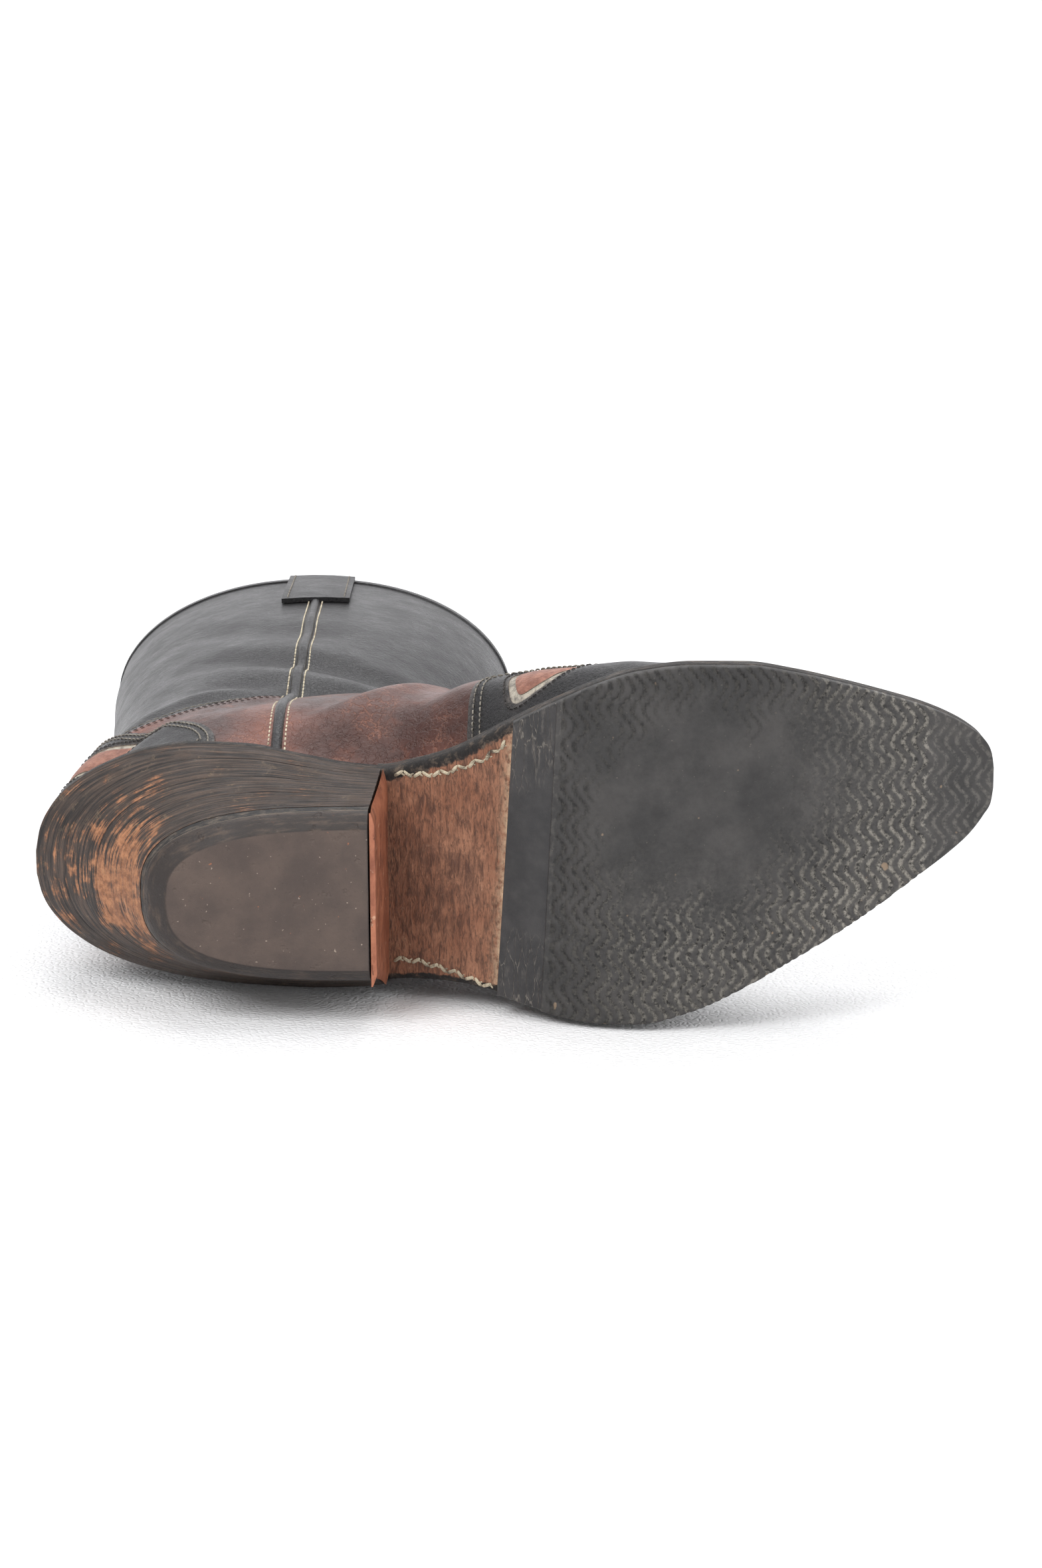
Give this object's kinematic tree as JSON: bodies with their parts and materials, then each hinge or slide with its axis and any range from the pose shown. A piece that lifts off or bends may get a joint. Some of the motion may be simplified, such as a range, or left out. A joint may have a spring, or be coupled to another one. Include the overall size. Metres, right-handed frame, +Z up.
{
  "type": "cowboy boot",
  "caption": "Left western boot with underslung stacked heel, rubber half sole, wingtip overlay and dipped shaft, lying on its outer side",
  "frame": {"origin": "bottom centre of the bounding box, on the surface it lies on", "axes": "+X from heel to toe, +Y from the sole to the collar, +Z up, from the outer to the inner side"},
  "size_m": [0.298, 0.3452, 0.1123],
  "materials": {
    "brown_leather": "waxed pull-up leather, reddish brown, creased, soft gloss",
    "black_leather": "black grained leather, worn, semi-gloss",
    "sole_leather": "worn tan sole leather, stained, matte",
    "heel_leather": "stacked leather, black edge dye worn through to tan",
    "sole_rubber": "dusty dark grey rubber with worn wave tread",
    "lift_rubber": "dusty grey-brown rubber, specked"
  },
  "bodies": {
    "root": {"breast_flap": "sole_leather", "counter_overlay": "black_leather", "half_sole": "sole_rubber", "heel_stack": "heel_leather", "insole": "sole_leather", "lift_base": "heel_leather", "outsole": "sole_leather", "pull_strap_lateral": "black_leather", "pull_strap_medial": "black_leather", "side_piping_lateral": "black_leather", "side_piping_medial": "black_leather", "top_lift": "lift_rubber", "upper": "brown_leather", "welt": "black_leather", "wingtip": "black_leather"}
  },
  "joints": []
}
